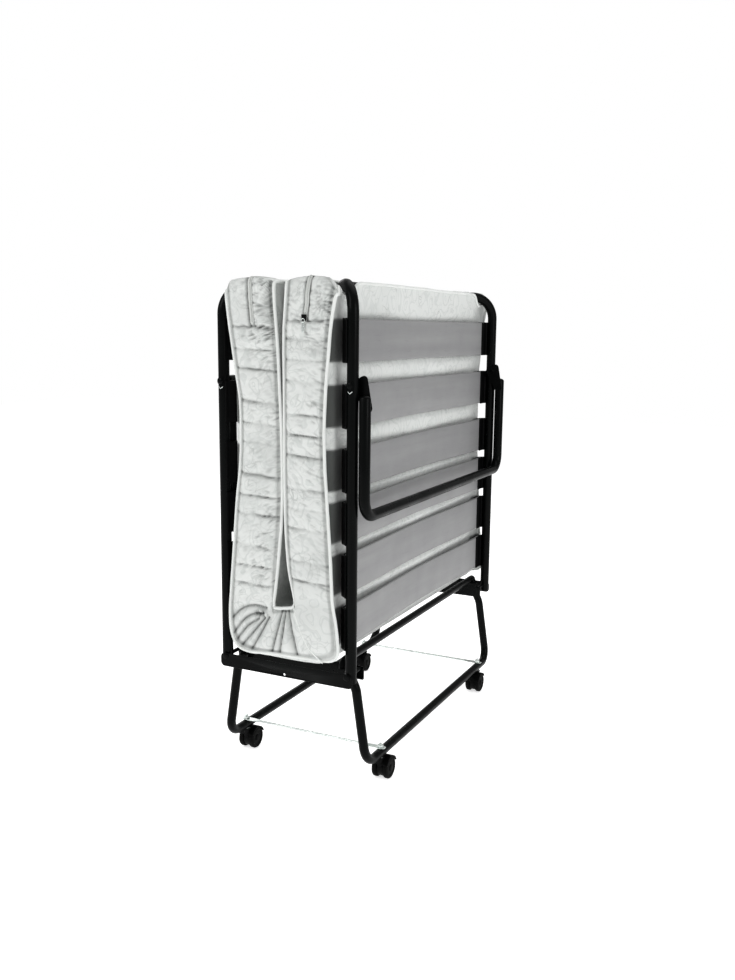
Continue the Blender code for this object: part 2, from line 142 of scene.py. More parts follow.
class Look:
    """A Principled material with short helpers for its procedural nodes."""

    def __init__(self, name, **values):
        self.material = bpy.data.materials.new(name)
        self.material.use_nodes = True
        self.tree = self.material.node_tree
        self.shader = self.tree.nodes["Principled BSDF"]
        for key, value in values.items():
            socket = self.shader.inputs[key.replace("_", " ").title().replace("Ior", "IOR")]
            socket.default_value = value
        self.coordinates = self.node("ShaderNodeTexCoord").outputs["Object"]

    def node(self, kind, **values):
        made = self.tree.nodes.new(kind)
        for key, value in values.items():
            if key in made.inputs:
                self.link(value, made.inputs[key])
            else:
                setattr(made, key, value)
        return made

    def link(self, value, socket):
        if isinstance(value, bpy.types.NodeSocket):
            self.tree.links.new(value, socket)
        else:
            socket.default_value = value

    def stretched(self, scale):
        mapping = self.node("ShaderNodeMapping", Vector=self.coordinates, Scale=scale)
        return mapping.outputs["Vector"]

    def noise(self, scale, detail=3.0, vector=None):
        found = self.node("ShaderNodeTexNoise", Vector=vector or self.coordinates, Scale=scale, Detail=detail)
        return found.outputs["Fac"]

    def math(self, operation, a, b=0.5):
        made = self.node("ShaderNodeMath", operation=operation)
        self.link(a, made.inputs[0])
        self.link(b, made.inputs[1])
        return made.outputs[0]

    def ranged(self, value, low, high, start=0.3, end=0.7):
        made = self.node("ShaderNodeMapRange", Value=value)
        for key, number in (("From Min", start), ("From Max", end), ("To Min", low), ("To Max", high)):
            made.inputs[key].default_value = number
        return made.outputs["Result"]

    def ramp(self, value, *stops):
        made = self.node("ShaderNodeValToRGB", Fac=value)
        elements = made.color_ramp.elements
        while len(elements) < len(stops):
            elements.new(0.5)
        for element, (place, colour) in zip(elements, stops):
            element.position = place
            element.color = (*colour, 1.0)
        return made.outputs["Color"]

    def mix(self, factor, a, b, blend="MIX"):
        made = self.node("ShaderNodeMix", data_type="RGBA", blend_type=blend)
        self.link(factor, made.inputs["Factor"])
        for socket, value in zip([s for s in made.inputs if s.type == "RGBA"], (a, b)):
            self.link((*value, 1.0) if isinstance(value, tuple) else value, socket)
        return [s for s in made.outputs if s.type == "RGBA"][0]

    def set(self, key, value):
        self.link(value, self.shader.inputs[key])

    def bump(self, *layers):
        """Stack bumps; each layer is (height, strength, distance in metres)."""
        normal = None
        for height, strength, distance in layers:
            made = self.node("ShaderNodeBump", Height=height, Strength=strength, Distance=distance)
            if normal:
                self.link(normal, made.inputs["Normal"])
            normal = made.outputs["Normal"]
        self.set("Normal", normal)


def enamel():
    """Black stove enamel with a faint orange peel, dust and rubbed patches."""
    look = Look("black_enamel", specular_ior_level=0.09, coat_weight=0.03, coat_roughness=0.12)
    wide = look.noise(9.0, 4.0)
    dust = look.noise(260.0, 2.0)
    base = look.ramp(wide, (0.35, (0.0014, 0.0019, 0.0019)), (0.7, (0.0032, 0.0042, 0.004)))
    look.set("Base Color", look.mix(look.ranged(dust, 0.0, 0.35, 0.66, 0.82), base, (0.012, 0.013, 0.0125)))
    look.set("Roughness", look.ranged(look.noise(22.0, 5.0), 0.22, 0.38))
    look.bump((look.noise(420.0, 2.0), 0.12, 0.0004))
    return look.material


def moulded(name, low, high, rough, scuff):
    """Moulded black plastic: a fine spark-eroded grain and paler scuffs."""
    look = Look(name, specular_ior_level=0.1)
    base = look.ramp(look.noise(14.0, 4.0), (0.35, low), (0.7, high))
    marks = look.ranged(look.noise(90.0, 6.0, look.stretched((1.0, 1.0, 3.0))), 0.0, scuff, 0.6, 0.78)
    look.set("Base Color", look.mix(marks, base, (0.03, 0.03, 0.031)))
    look.set("Roughness", look.ranged(look.noise(35.0, 5.0), rough - 0.07, rough + 0.1))
    look.bump((look.noise(1500.0, 1.0), 0.25, 0.0003), (look.noise(60.0, 3.0), 0.08, 0.0008))
    return look.material


def foil():
    """Grey printed foil on laminated wood: long faint grain, fine pores and small knocks."""
    look = Look("grey_foil", coat_weight=0.12, coat_roughness=0.35)
    grain = look.noise(30.0, 6.0, look.stretched((1.0, 0.06, 1.0)))
    pores = look.noise(600.0, 2.0, look.stretched((1.0, 0.03, 1.0)))
    patch = look.noise(5.0, 3.0)
    base = look.ramp(grain, (0.3, (0.262, 0.262, 0.266)), (0.7, (0.318, 0.318, 0.32)))
    base = look.mix(look.ranged(patch, 0.0, 0.5, 0.4, 0.75), base, (0.245, 0.245, 0.252))
    base = look.mix(look.ranged(pores, 0.0, 0.25, 0.6, 0.75), base, (0.17, 0.17, 0.175))
    look.set("Base Color", base)
    look.set("Roughness", look.ranged(look.noise(18.0, 4.0), 0.42, 0.56))
    look.bump((pores, 0.15, 0.0003), (grain, 0.06, 0.001))
    return look.material


def plated():
    """Bright zinc plate: a fine crystalline spangle and dull handling marks."""
    look = Look("zinc_plate", metallic=1.0)
    spangle = look.node("ShaderNodeTexVoronoi", Vector=look.coordinates, Scale=420.0).outputs["Color"]
    tone = look.node("ShaderNodeRGBToBW", Color=spangle).outputs["Val"]
    look.set("Base Color", look.ramp(tone, (0.0, (0.55, 0.59, 0.57)), (1.0, (0.78, 0.82, 0.8))))
    look.set("Roughness", look.ranged(look.noise(40.0, 5.0), 0.18, 0.42))
    look.bump((look.noise(700.0, 2.0), 0.1, 0.0003))
    return look.material


def damask(name, light, shade, motif_light):
    """Woven ticking: scrolls in a duller thread over a fine twill ground."""
    look = Look(name, sheen_weight=0.25, sheen_roughness=0.5, specular_ior_level=0.25)
    warp = look.node("ShaderNodeTexNoise", Vector=look.coordinates, Scale=16.0, Detail=2.0).outputs["Color"]
    bent = look.node("ShaderNodeVectorMath", operation="SCALE", Vector=warp, Scale=0.055)
    moved = look.node("ShaderNodeVectorMath", operation="ADD", Vector=look.coordinates)
    look.link(bent.outputs[0], moved.inputs[1])
    cells = look.node("ShaderNodeTexVoronoi", feature="SMOOTH_F1", Vector=moved.outputs[0], Scale=30.0)
    rings = look.math("SINE", look.math("MULTIPLY", cells.outputs["Distance"], 26.0))
    leaf = look.noise(55.0, 3.0, moved.outputs[0])
    scroll = look.math("ABSOLUTE", look.math("ADD", rings, look.math("MULTIPLY", leaf, 1.6)))
    motif = look.ranged(scroll, 1.0, 0.0, 0.1, 0.42)
    crackle = look.node("ShaderNodeTexVoronoi", feature="DISTANCE_TO_EDGE", Vector=moved.outputs[0], Scale=62.0)
    crackle = look.ranged(crackle.outputs["Distance"], 1.0, 0.0, 0.0, 0.06)
    crackle = look.math("MULTIPLY", crackle, look.ranged(look.noise(24.0, 3.0), 0.0, 1.0, 0.5, 0.64))
    thread_a = look.node("ShaderNodeTexWave", bands_direction="DIAGONAL", Vector=look.coordinates, Scale=190.0)
    thread_b = look.node("ShaderNodeTexWave", bands_direction="Z", Vector=look.coordinates, Scale=240.0)
    soil = look.ranged(look.noise(7.0, 5.0), 0.0, 0.55, 0.45, 0.75)
    base = look.mix(motif, light, motif_light)
    base = look.mix(soil, base, shade)
    base = look.mix(look.math("MULTIPLY", crackle, 0.45), base, (0.33, 0.35, 0.335))
    base = look.mix(look.math("MULTIPLY", thread_a.outputs["Fac"], 0.06), base, (0.5, 0.52, 0.5))
    # Painted shade: the point attribute read here darkens the ticking towards near-black behind the slats, in
    # the gap between the halves, and in the seams, creases and pleats and beside the pipings.
    painted_shade = look.node("ShaderNodeAttribute", attribute_name="painted_shade").outputs["Fac"]
    base = look.mix(look.math("MULTIPLY", painted_shade, 0.93), base, (0.03, 0.034, 0.031))
    look.set("Base Color", base)
    look.set("Roughness", look.ranged(motif, 0.86, 0.68, 0.0, 1.0))
    look.bump(
        (motif, 0.15, 0.0007),
        (look.math("SUBTRACT", 1.0, crackle), 0.35, 0.0012),
        (thread_a.outputs["Fac"], 0.15, 0.0004),
        (thread_b.outputs["Fac"], 0.1, 0.0003),
        (look.noise(38.0, 5.0), 0.32, 0.0022),
    )
    return look.material


def tape(name, colour, dark):
    """Ribbed woven tape for the piping and the zip."""
    look = Look(name, sheen_weight=0.15, sheen_roughness=0.5)
    rib = look.node("ShaderNodeTexWave", bands_direction="DIAGONAL", Vector=look.coordinates, Scale=260.0)
    soil = look.ranged(look.noise(24.0, 5.0), 0.0, 0.6, 0.4, 0.75)
    look.set("Base Color", look.mix(soil, look.mix(rib.outputs["Fac"], colour, dark), dark))
    look.set("Roughness", look.ranged(look.noise(50.0, 3.0), 0.62, 0.82))
    look.bump((rib.outputs["Fac"], 0.3, 0.0004), (look.noise(90.0, 4.0), 0.25, 0.001))
    return look.material


LOOKS = {
    "black_tube": enamel(),
    "black_plastic": moulded("holder_plastic", (0.0015, 0.0016, 0.0017), (0.0036, 0.0038, 0.004), 0.45, 0.2),
    "caster_black": moulded("caster_nylon", (0.0018, 0.0019, 0.002), (0.0045, 0.0047, 0.0049), 0.36, 0.25),
    "tyre": moulded("caster_tread", (0.0022, 0.0022, 0.0022), (0.006, 0.006, 0.0057), 0.62, 0.35),
    "grey_slat": foil(),
    "zinc": plated(),
    "ticking": damask("damask_ticking", (0.7, 0.715, 0.7), (0.61, 0.63, 0.615), (0.615, 0.635, 0.62)),
    "piping": tape("piping_tape", (0.84, 0.855, 0.84), (0.7, 0.72, 0.7)),
    "zip": tape("zip_tape", (0.72, 0.73, 0.71), (0.5, 0.52, 0.5)),
}


# Shapes


def add_piece(name, bm, sharp=35):
    bmesh.ops.recalc_face_normals(bm, faces=bm.faces)
    mesh = bpy.data.meshes.new(name)
    bm.to_mesh(mesh)
    bm.free()
    mesh.shade_smooth()
    mesh.set_sharp_from_angle(angle=math.radians(sharp))
    obj = bpy.data.objects.new(name, mesh)
    bpy.context.scene.collection.objects.link(obj)
    return obj


def put(obj, body, slot, *nodes, look=None):
    """Give a piece its finish and its body, and let it stand for the CAD nodes."""
    obj.data.materials.clear()
    obj.data.materials.append(LOOKS[look or slot])
    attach(obj, body)
    if nodes:
        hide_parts(*nodes)
    return obj


def soften(obj, width, segments=3, angle=35):
    step = obj.modifiers.new("soften", "BEVEL")
    step.width = width
    step.segments = segments
    step.limit_method = "ANGLE"
    step.angle_limit = math.radians(angle)
    step.harden_normals = False
    return obj


def rounded_path(corners, radii, steps=5):
    """A polyline through the corners with each inner corner turned by an arc of its radius."""
    points = [Vector(corners[0])]
    for i in range(1, len(corners) - 1):
        corner = Vector(corners[i])
        back = (Vector(corners[i - 1]) - corner).normalized()
        ahead = (Vector(corners[i + 1]) - corner).normalized()
        half = back.angle(ahead) / 2
        centre = corner + (back + ahead).normalized() * (radii[i - 1] / math.sin(half))
        start = corner + back * (radii[i - 1] / math.tan(half)) - centre
        end = corner + ahead * (radii[i - 1] / math.tan(half)) - centre
        turn = start.angle(end)
        axis = start.cross(end).normalized()
        count = max(3, math.ceil(math.degrees(turn) / steps))
        for k in range(count + 1):
            points.append(centre + Matrix.Rotation(turn * k / count, 3, axis) @ start)
    points.append(Vector(corners[-1]))
    return points


def across(*points):
    """The points as they stand at the near side, then in turn back at the far side."""
    return [(x, -y, z) for x, y, z in points] + [(x, y, z) for x, y, z in reversed(points)]


def circle(radius, sides=28):
    turns = [2 * math.pi * k / sides for k in range(sides)]
    return [(radius * math.cos(t), radius * math.sin(t)) for t in turns]


def skin(name, path, outlines, upright=None, sharp=35):
    """Skin flat outlines, one for each path point, and close both ends."""
    bm = bmesh.new()
    path = [Vector(p) for p in path]
    side = None
    rings = []
    for i, point in enumerate(path):
        ahead = (path[min(i + 1, len(path) - 1)] - path[max(i - 1, 0)]).normalized()
        start = side or (Vector(upright) if upright else ahead.orthogonal())
        side = (start - ahead * start.dot(ahead)).normalized()
        other = ahead.cross(side)
        rings.append([bm.verts.new(point + side * a + other * b) for a, b in outlines[i]])
    count = len(rings[0])
    for a, b in zip(rings, rings[1:]):
        for k in range(count):
            n = (k + 1) % count
            bm.faces.new((a[k], a[n], b[n], b[k]))
    bm.faces.new(rings[0])
    bm.faces.new(list(reversed(rings[-1])))
    return add_piece(name, bm, sharp)


def tube(name, path, radius, dome=0.5, sides=28):
    """A round tube whose ends close in low domes; dome is their height over the radius."""
    path = [Vector(p) for p in path]
    turns = [math.radians(a) for a in (0, 25, 50, 70, 84)]
    start = (path[0] - path[1]).normalized() * radius * dome
    end = (path[-1] - path[-2]).normalized() * radius * dome
    points = [path[0] + start * math.sin(t) for t in reversed(turns)] + path[1:-1]
    points += [path[-1] + end * math.sin(t) for t in turns]
    radii = [radius * math.cos(t) for t in reversed(turns)] + [radius] * (len(path) - 2)
    radii += [radius * math.cos(t) for t in turns]
    return skin(name, points, [circle(r, sides) for r in radii])


def prism(name, outline, place, low, high):
    """An outline pushed from low to high; place(a, b, depth) gives each corner in space."""
    bm = bmesh.new()
    bottom = [bm.verts.new(place(a, b, low)) for a, b in outline]
    top = [bm.verts.new(place(a, b, high)) for a, b in outline]
    bm.faces.new(bottom)
    bm.faces.new(list(reversed(top)))
    for k in range(len(outline)):
        n = (k + 1) % len(outline)
        bm.faces.new((bottom[k], bottom[n], top[n], top[k]))
    return add_piece(name, bm)


def turned(name, profile, centre, axis, sides=40, closed=True):
    """A solid of revolution; the profile is (distance along the axis, radius), closed at the axis."""
    if closed:
        profile = [(profile[0][0], 0), *profile]
        if profile[-1][1]:
            profile.append((profile[-1][0], 0))
    bm = bmesh.new()
    axis = Vector(axis).normalized()
    side = axis.orthogonal().normalized()
    other = axis.cross(side)
    rings = []
    for along, radius in profile:
        base = Vector(centre) + axis * along
        if radius == 0:
            rings.append([bm.verts.new(base)])
        else:
            rings.append([bm.verts.new(base + side * a + other * b) for a, b in circle(radius, sides)])
    for a, b in zip(rings, rings[1:]):
        for k in range(sides):
            n = (k + 1) % sides
            corners = [a[k % len(a)], a[n % len(a)], b[n % len(b)], b[k % len(b)]]
            bm.faces.new(list(dict.fromkeys(corners)))
    return add_piece(name, bm)


def arc(centre, radius, start, end, count):
    angles = [math.radians(start + (end - start) * k / count) for k in range(count + 1)]
    return [(centre[0] + radius * math.cos(t), centre[1] + radius * math.sin(t)) for t in angles]


def round_box(low, high, corner, count=6):
    """A rectangle with round corners."""
    spots = (
        (high[0] - corner, low[1] + corner, -90),
        (high[0] - corner, high[1] - corner, 0),
        (low[0] + corner, high[1] - corner, 90),
        (low[0] + corner, low[1] + corner, 180),
    )
    outline = []
    for a, b, start in spots:
        outline += arc((a, b), corner, start, start + 90, count)
    return outline


def hull(points):
    """Convex hull of flat points, by the monotone chain."""

    def chain(ordered):
        kept = []
        for p in ordered:
            while len(kept) > 1:
                (ax, ay), (bx, by) = kept[-2], kept[-1]
                if (bx - ax) * (p[1] - ay) - (by - ay) * (p[0] - ax) > 1e-12:
                    break
                kept.pop()
            kept.append(p)
        return kept[:-1]

    ordered = sorted(set(points))
    return chain(ordered) + chain(list(reversed(ordered)))


def apply_modifiers(obj):
    with bpy.context.temp_override(object=obj, active_object=obj, selected_objects=[obj]):
        for step in list(obj.modifiers):
            bpy.ops.object.modifier_apply(modifier=step.name)


def joined(first, *others):
    """Join pieces into the first one, with their modifiers applied."""
    group = [first, *others]
    for obj in group:
        apply_modifiers(obj)
    with bpy.context.temp_override(
        object=first, active_object=first, selected_objects=group, selected_editable_objects=group
    ):
        bpy.ops.object.join()
    return first


def domed_head(radius, height, start):
    """Profile of a domed bolt or rivet head that starts on a face."""
    rise = [math.radians(a) for a in (0, 18, 36, 54, 72, 90)]
    dome = [(start + height * (0.35 + 0.65 * math.sin(t)), radius * math.cos(t)) for t in rise[:-1]]
    return [(start, radius), *dome, (start + height, 0)]


# Metalwork


def hoop_path(sx):
    foot = (sx * FRAME_X, HALF_WIDTH, FRAME_BOTTOM)
    head = (sx * FRAME_X, HALF_WIDTH, FRAME_TOP)
    hoop = (sx * HOOP[0], HOOP[1], HOOP[2])
    return rounded_path(across(foot, head, hoop), (HEAD_BEND, HOOP_BEND, HOOP_BEND, HEAD_BEND), 4)


def side_frames():
    for label, sx in SIDES:
        rail = tube(f"{label}_side_frame", hoop_path(sx), FRAME_R, 0.25, 36)
        put(rail, f"{label}_half", "black_tube", f"{label}_frame_tube")


def bow(y):
    """How far a slat's centre line stands in from the tubes' centre line at y."""
    t = min(abs(y) / SLAT_FREE, 1.0)
    return SLAT_INSET + SLAT_BOW * (0.5 + 0.5 * math.cos(math.pi * t))


def slats():
    """Bowed strips with softened edges, in two moulded holders each."""
    saddle = FRAME_R + GAP
    slot_low = SLAT_INSET - SLAT_THICK / 2 - GAP
    slot_high = SLAT_INSET + SLAT_THICK / 2 + GAP
    seat = SLAT_SEAT - GAP
    lip = slot_high + HOLDER_WALL
    back = slot_low - HOLDER_WALL
    outline = arc((0, 0), saddle, -50, 35, 18)
    outline += [(back, 0.0105), (back, HOLDER_DEPTH), (slot_low, HOLDER_DEPTH), (slot_low, seat)]
    outline += [(slot_high, seat), (slot_high, HOLDER_DEPTH), (lip, HOLDER_DEPTH), (lip, 0.006)]
    outline += [(lip - 0.003, 0.002)]
    outline += arc((0, 0), saddle + HOLDER_WALL, -20, -50, 6)
    stations = np.linspace(-1, 1, 61) * SLATS[0][1].y
    for label, sx in SIDES:
        for number, (low, high) in enumerate(SLATS, start=1):
            height = (low.z + high.z) / 2
            width = high.z - low.z
            path = [(sx * (FRAME_X - bow(y)), y, height) for y in stations]
            section = round_box((-SLAT_THICK / 2, -width / 2), (SLAT_THICK / 2, width / 2), 0.0024, 4)
            strip = skin(f"{label}_sprung_slat_{number}", path, [section] * len(path), (1, 0, 0))
            put(strip, f"{label}_half", "grey_slat", f"{label}_slat_{number}")
            for end, y in ENDS:

                def place(u, v, z, y=y):
                    return (sx * (FRAME_X - u), y * (HALF_WIDTH - v), z)

                half = (HOLDER[1].z - HOLDER[0].z) / 2
                clip = prism(f"{label}_slat_clip_{number}_{end}", outline, place, height - half, height + half)
                soften(clip, 0.0008, 2, 40)
                put(clip, f"{label}_half", "black_plastic", f"{label}_holder_{number}_{end}")


def pivot_bolt(label, end, sx, y, inner):
    """A domed bolt through the side tube with a washer outside and a nut inside the leg."""
    outer = HALF_WIDTH + FRAME_R + GAP
    centre = (sx * FRAME_X, 0, PIVOT.z)
    head = outer + 0.0008
    low = inner - 0.0052
    parts = (
        (f"{label}_leg_bolt_{end}", domed_head(0.0062, 0.003, head), 40),
        ("washer", [(outer, 0.0078), (head, 0.0078)], 40),
        ("shank", [(low - 0.001, 0.0036), (outer, 0.0036)], 20),
        ("nut", [(low, 0.0062), (inner - 0.002, 0.0068), (inner, 0.0068)], 6),
    )
    bolt = joined(*(turned(name, profile, centre, (0, y, 0), sides) for name, profile, sides in parts))
    put(bolt, f"{label}_leg", "black_tube")


def tube_stop(label, end, sx, y):
    """A small bent stop on the side tube under each pivot."""
    reach = HALF_WIDTH + FRAME_R + 0.0013
    spots = (-0.0044, -0.0022, 0.0, 0.0022, 0.0044)
    points = [(sx * FRAME_X + a, y * (reach - abs(a) * 0.35), PIVOT.z - 0.015 + abs(a) * 0.9) for a in spots]
    put(tube(f"{label}_tube_stop_{end}", points, 0.0008, 1.0, 12), f"{label}_half", "zinc")


def leg_tube(label, x, half, top, dome):
    path = rounded_path(across((x, half, top), (x, half, LEG_BAR_Z)), (LEG_BEND, LEG_BEND), 4)
    leg = tube(f"{label}_leg_tube", path, LEG_R, dome, 36)
    put(leg, f"{label}_leg", "black_tube", f"{label}_end_leg")


def end_legs():
    """The right leg hangs outside its frame on ear plates, the left one between its side tubes."""
    leg_tube("right", LEG_X, LEG_Y, LEG_TOP, 0.6)
    leg_tube("left", -FRAME_X, NESTED_Y, PIVOT.z, 1.0)
    inner = HALF_WIDTH - FRAME_R - GAP
    shape = hull([p for x, z, r in EAR for p in arc((x, z), r, 0, 345, 23)])
    for end, y in ENDS:

        def place(a, b, depth, y=y):
            return (a, y * depth, b)

        plate = prism(f"right_leg_ear_{end}", shape, place, inner - EAR_THICK, inner)
        put(soften(plate, 0.0006, 2), "right_leg", "black_tube")
        pivot_bolt("right", end, 1, y, inner - EAR_THICK)
        tube_stop("right", end, 1, y)
        low = NESTED_Y - LEG_R
        eye = [(low, 0.0092), (low + 0.0012, 0.0108), (inner - 0.001, 0.0108), (inner, 0.0098)]
        put(turned(f"left_leg_eye_{end}", eye, (-FRAME_X, 0, PIVOT.z), (0, y, 0)), "left_leg", "black_tube")
        pivot_bolt("left", end, -1, y, low)
        tube_stop("left", end, -1, y)


def brackets():
    front = HALF_WIDTH + FRAME_R + GAP
    back = BRACKET_BACK
    top = BRACKET_HIGH - 0.0002
    for label, y in ENDS:

        def flat(a, b, depth, y=y):
            return (a, y * depth, b)

        def plan(a, b, depth, y=y):
            return (a, y * b, depth)

        face = round_box((-BRACKET_END, BRACKET_LOW), (BRACKET_END, BRACKET_HIGH), 0.009)
        plate = prism(f"{label}_bracket_plate", face, flat, front, front + PLATE)
        shelf = [
            (BRACKET_NOTCH, front + PLATE / 2),
            (BRACKET_NOTCH, BRACKET_STEP),
            (BRACKET_END - 0.004, BRACKET_STEP),
            (BRACKET_END - 0.004, back),
        ]
        shelf += [(-a, b) for a, b in reversed(shelf)]
        skirt = round_box((-0.148, BRACKET_LOW), (0.148, top), 0.003, 3)
        parts = [
            soften(plate, 0.0008, 3),
            soften(prism("shelf", shelf, plan, top - PLATE, top), 0.0005, 2),
            soften(prism("skirt", skirt, flat, back, back + PLATE), 0.0005, 2),
        ]
        bead = [(a, y * (front + PLATE - 0.0004), top - 0.0035) for a in np.linspace(-0.138, 0.138, 30)]
        parts.append(tube("bead", bead, 0.0016, 1.0, 14))
        shell = joined(*parts)
        hole = turned(f"{label}_drill", [(0, 0.0028), (0.03, 0.0028)],
                      (0, y * (front - 0.015), BRACKET_HOLE_Z), (0, y, 0), 24)
        cut = shell.modifiers.new("hole", "BOOLEAN")
        cut.operation = "DIFFERENCE"
        cut.object = hole
        apply_modifiers(shell)
        bpy.data.objects.remove(hole)
        put(shell, "base", "black_tube", f"{label}_bracket")
        for side, sx in SIDES:
            centre = (sx * HINGE.x, 0, HINGE.z)
            head = domed_head(0.0068, 0.003, front + PLATE)
            rivet = joined(
                turned(f"{side}_hinge_rivet_{label}", head, centre, (0, y, 0)),
                turned("pin", [(back, 0.0039), (front + PLATE, 0.0039)], centre, (0, y, 0), 24),
                turned("tail", domed_head(0.0055, 0.0022, -back), centre, (0, -y, 0)),
            )
            put(rivet, "base", "black_tube")


def base_tubes():
    for label, sx in SIDES:
        top = (sx * BASE_TOP[0], BASE_Y, BASE_TOP[1])
        knee = (sx * BASE_KNEE[0], BASE_Y, BASE_KNEE[1])
        rail = (sx * STEM.x, BASE_Y, RAIL_Z)
        path = rounded_path(across(top, knee, rail), (KNEE_BEND, RAIL_BEND, RAIL_BEND, KNEE_BEND), 4)
        put(tube(f"{label}_base_tube", path, BASE_R, 0.2, 32), "base", "black_tube", f"{label}_base_leg")
        foot = (sx * BAR[0], BAR[1], BRACKET_HIGH + GAP)
        rise = (sx * BAR[0], BAR[1], BAR[2])
        path = rounded_path(across(foot, rise), (BAR_BEND, BAR_BEND), 8)
        bar = tube(f"{label}_mattress_bar", path, BAR_R, 0.05, 28)
        put(bar, "base", "black_tube", f"{label}_support_bar")


def tie_links():
    """Round ties with flattened ends, each held by two nuts on the casters' stems."""
    low = RAIL_Z + BASE_R + GAP
    centre_z = low + LINK_THICK / 2
    for label, y in ENDS:
        stem_y = y * STEM.y
        stations = [(STEM.x + a, wide, thick) for a, wide, thick in TIE_END]
        stations += [(STEM.x - 0.036 - k * 0.0125, TIE_R, TIE_R) for k in range(1, 11)]
        stations += [(-a, b, c) for a, b, c in reversed(stations)]
        sections = []
        for _, wide, thick in stations:
            power = 2 / 2.6 if thick < wide * 0.5 else 1
            sections.append([
                (math.copysign(abs(a) ** power, a) * wide, math.copysign(abs(b) ** power, b) * thick)
                for a, b in circle(1, 20)
            ])
        path = [(x, stem_y, centre_z) for x, _, _ in stations]
        link = skin(f"{label}_tie_rod", path, sections, (0, 1, 0))
        put(link, "base", "zinc", f"{label}_tie_link")
        for side, sx in SIDES:
            centre = (sx * STEM.x, stem_y, 0)
            top = centre_z + 0.001
            nut = joined(
                turned(f"{side}_stem_nut_{label}", [(top, 0.006), (top + 0.0006, 0.0066), (top + 0.0044, 0.0066),
                       (top + 0.005, 0.0058)], centre, (0, 0, 1), 6),
                turned("stem", [(0.0335, STEM_R), (top + 0.0075, STEM_R), (top + 0.0085, STEM_R * 0.7)],
                       centre, (0, 0, 1), 24),
                turned("washer", [(0.0492, 0.0062), (0.0499, 0.0062)], centre, (0, 0, 1), 24),
            )
            put(nut, "base", "zinc")


def casters():
    for label, sx in SIDES:
        for end, sy in ENDS:
            x = sx * STEM.x
            y = sy * STEM.y
            hub = (x, sy * HUB.y, HUB.z)

            def place(a, b, depth, x=x, hub=hub, sy=sy):
                return (x + depth, hub[1] - sy * a, hub[2] + b)

            hood = arc((0, 0), WHEEL_R + 0.0026, 20, 152, 26) + arc((0, 0), WHEEL_R + 0.0008, 152, 20, 26)
            web = [(-WEB_HALF, 0.018), (-WEB_HALF + 0.001, 0.0195), (WEB_HALF - 0.001, 0.0195),
                   (WEB_HALF, 0.018)]
            bridge = round_box((-0.012, 0.006), (0.008, WHEEL_R + 0.0015), 0.002, 3)
            neck = [(0.03, 0.0066), (0.0455, 0.0066), (0.046, 0.0078), (0.0484, 0.0078),
                    (0.049, 0.0072)]
            shell = joined(
                soften(prism(f"{label}_{end}_caster_hood", hood, place, -WHEEL_OUTER, WHEEL_OUTER), 0.0007, 3),
                turned("web", web, hub, (1, 0, 0), 40),
                soften(prism("bridge", bridge, place, -WEB_HALF, WEB_HALF), 0.0008, 2),
                turned("neck", neck, (x, y, 0), (0, 0, 1), 32),
            )
            put(shell, f"{label}_{end}_caster", "caster_black", f"{label}_{end}_caster_housing")
            face = WEB_HALF + 0.0005
            half = [(face, AXLE_R), (face, WHEEL_R - 0.0025), (face + 0.0008, WHEEL_R - 0.0007),
                    (face + 0.0022, WHEEL_R)]
            half += [(WHEEL_OUTER - a, WHEEL_R - b) for a, b in TREAD_EDGE]
            half += [(WHEEL_OUTER - 0.0022, 0.0075), (WHEEL_OUTER - 0.0006, 0.0066), (WHEEL_OUTER, 0.0045)]
            profile = [(-a, r) for a, r in reversed(half)] + half
            wheels = turned(f"{label}_{end}_twin_wheel", profile, hub, (1, 0, 0), 56)
            put(wheels, f"{label}_{end}_wheels", "caster_black", f"{label}_{end}_caster_wheels", look="tyre")


# Mattress

# Outlines of one half along its pipings, as (distance from the middle, height), fold first.
OUTER_EDGE = {
    "left": ((0, 0.28), (0.04, 0.277), (0.07, 0.275), (0.1, 0.282), (0.1145, 0.306), (0.119, 0.35),
        (0.114, 0.417), (0.1055, 0.5), (0.0985, 0.582), (0.0905, 0.642), (0.0872, 0.7), (0.0885, 0.78),
        (0.0957, 0.826), (0.109, 0.913), (0.1165, 0.97), (0.1192, BED_TOP)),
    "right": ((0, 0.28), (0.053, 0.2805), (0.1, 0.2825), (0.1195, 0.289), (0.1262, 0.306), (0.1225, 0.345),
        (0.113, 0.406), (0.1065, 0.523), (0.1011, 0.599), (0.0974, 0.656), (0.095, 0.725), (0.0971, 0.787),
        (0.1042, 0.879), (0.1113, 0.94), (0.1205, 0.986), (0.125, BED_TOP)),
}
INNER_EDGE = {
    "left": ((0, 0.3745), (0.008, 0.3745), (0.0165, 0.372), (0.0165, 0.388), (0.0125, 0.411), (0.007, 0.451),
        (0.0021, 0.501), (-0.002, 0.541), (-0.0045, 0.6), (-0.0045, 0.66), (-0.003, 0.735),
        (0.0005, 0.811), (0.0042, 0.886), (0.01, 0.96), (0.012, BED_TOP)),
    "right": ((0, 0.3745), (0.012, 0.3765), (0.0285, 0.38), (0.0318, 0.39), (0.0262, 0.42), (0.02, 0.451),
        (0.014, 0.501), (0.0115, 0.56), (0.0108, 0.62), (0.0105, 0.7), (0.01, 0.8),
        (0.0098, 0.9), (0.0135, 0.96), (0.0165, BED_TOP)),
}
